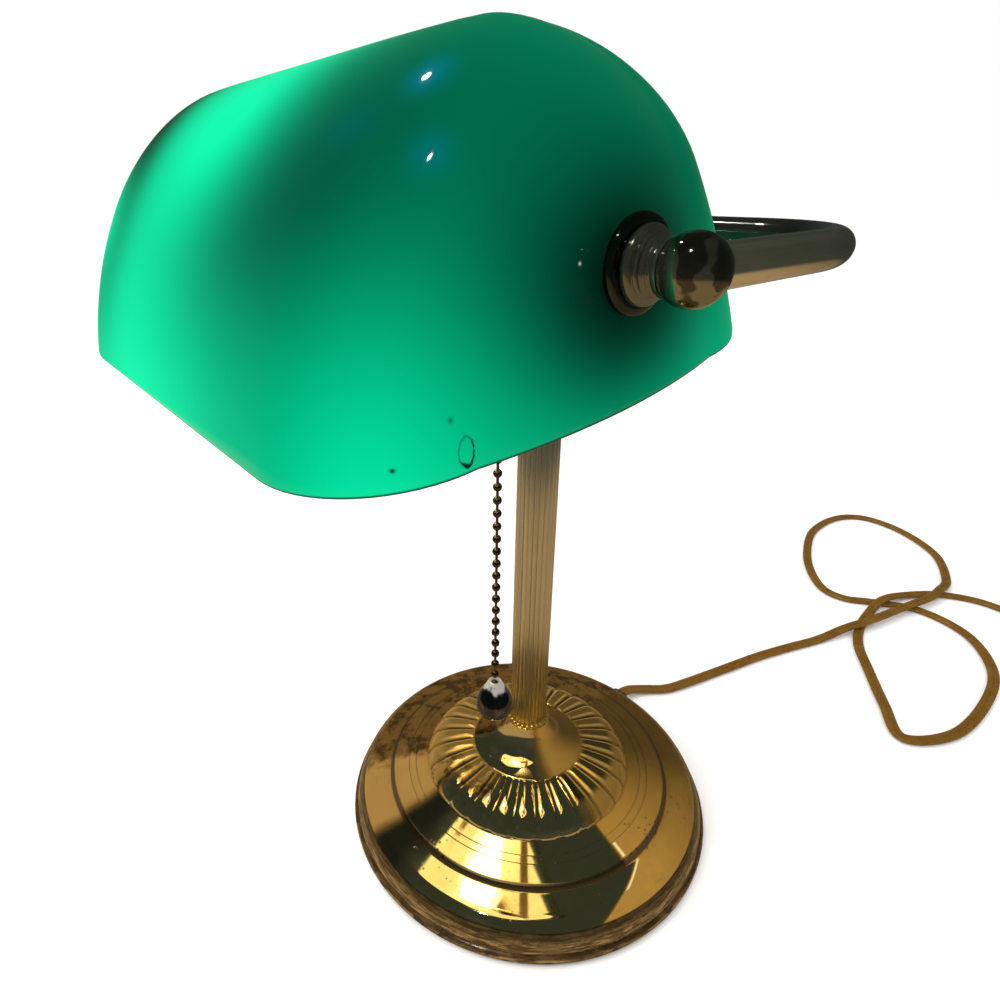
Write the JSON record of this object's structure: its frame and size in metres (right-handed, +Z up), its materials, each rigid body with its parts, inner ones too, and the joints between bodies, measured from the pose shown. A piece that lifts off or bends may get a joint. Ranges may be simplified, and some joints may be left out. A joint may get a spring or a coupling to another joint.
{
  "type": "bankers lamp",
  "caption": "Bankers lamp: green cased glass shade on a U shaped brass arm, reeded stem, lobed round brass foot, pull chain and cord.",
  "frame": {"origin": "underside centre of the foot, on the stem's axis", "axes": "+Z up along the stem, +X along the shade to the pictured pivot ball, -Y to the front where the chain hangs, +Y to the back where the cord leaves"},
  "size_m": [0.3949, 0.6718, 0.3595],
  "materials": {
    "brass_polished": "polished and lacquered brass with brown tarnish spots",
    "brass_satin": "satin reeded brass",
    "brass_raw": "unpolished brass",
    "steel_zinc": "zinc plated steel",
    "iron_black": "rough black cast iron",
    "felt_green": "dark green felt",
    "glass_green": "glossy green outer layer of cased glass",
    "glass_white": "glossy white inner layer of cased glass",
    "glass_frost": "frosted bulb glass",
    "chain_bronze": "dark bronze plated beads",
    "pull_chrome": "polished chrome",
    "rubber_black": "black rubber",
    "fibre_brown": "dark insulating fibre",
    "aluminium_cap": "plain aluminium",
    "vinyl_gold": "translucent gold vinyl"
  },
  "bodies": {
    "stand": {"base_shell": "brass_polished", "base_pad": "felt_green", "base_weight": "iron_black", "base_washer": "steel_zinc", "base_nut": "steel_zinc", "gadroon_dome": "brass_polished", "neck_flare": "brass_polished", "stem_foot_ring": "brass_polished", "stem_tube": "brass_satin", "stem_cap": "brass_polished", "lamp_pipe": "brass_raw", "neck_sleeve": "brass_polished", "arm_hub": "brass_polished", "hub_finial": "brass_polished", "shade_arm": "brass_polished", "arm_ball_near": "brass_polished", "arm_ball_far": "brass_polished", "pivot_collar_near": "brass_polished", "pivot_collar_far": "brass_polished", "outer_disc_near": "brass_polished", "outer_disc_far": "brass_polished", "pivot_stud_near": "steel_zinc", "pivot_stud_far": "steel_zinc", "spring_washers": "steel_zinc", "clamp_nuts": "brass_polished", "socket_bracket": "brass_raw", "socket_nipple": "brass_raw", "socket_locknut": "steel_zinc", "socket_cap": "brass_polished", "socket_shell": "brass_polished", "socket_liner": "fibre_brown", "switch_block": "fibre_brown", "screw_shell": "brass_raw", "centre_contact": "brass_raw", "terminal_screws": "brass_raw", "chain_guide": "brass_polished", "lever_pin": "steel_zinc", "cord_bushing": "rubber_black", "cord_lead": "vinyl_gold", "cord_tail": "vinyl_gold", "cord_coil": "vinyl_gold", "cord_tie": "rubber_black", "plug_body": "vinyl_gold", "plug_blades": "brass_raw"},
    "shade": {"shade_casing": "glass_green", "shade_lining": "glass_white", "pivot_bushes": "brass_raw", "rubber_washers": "rubber_black"},
    "switch_lever": {"switch_lever": "brass_raw"},
    "chain_top": {"chain_top": "chain_bronze"},
    "pull_chain": {"pull_chain": "chain_bronze", "chain_pull_end": "pull_chrome"},
    "bulb_travel": {"bulb_contact": "aluminium_cap"},
    "bulb": {"bulb_glass": "glass_frost", "bulb_cap": "aluminium_cap"}
  },
  "joints": [
    {"name": "shade_tilt", "type": "hinge", "parent": "stand", "child": "shade", "pos_m": [0, -0.0833, 0.3117], "axis": [1, 0, 0], "range_deg": [-22, 30]},
    {"name": "bulb_out", "type": "slide", "parent": "stand", "child": "bulb_travel", "axis": [-1, 0, 0], "range_m": [0, 0.023]},
    {"name": "bulb_turn", "type": "hinge", "parent": "bulb_travel", "child": "bulb", "pos_m": [0, -0.0709, 0.31], "axis": [-1, 0, 0], "range_deg": [0, 2280]},
    {"name": "chain_pull", "type": "slide", "parent": "stand", "child": "chain_top", "axis": [0, 0, -1], "range_m": [0, 0.008], "stiffness_N_per_m": 500, "springref_m": -0.003},
    {"name": "lever_turn", "type": "hinge", "parent": "stand", "child": "switch_lever", "pos_m": [0.0518, -0.0613, 0.3054], "axis": [1, 0, 0], "range_deg": [0, 48]},
    {"name": "chain_swing", "type": "hinge", "parent": "chain_top", "child": "pull_chain", "pos_m": [0.0518, -0.0709, 0.285], "axis": [1, 0, 0], "range_deg": [-14, 14]}
  ],
  "couplings": [
    {"joint": "bulb_out", "follows": "bulb_turn", "m_per_rad": 0.00057773},
    {"joint": "lever_turn", "follows": "chain_pull", "rad_per_m": 104.72}
  ]
}
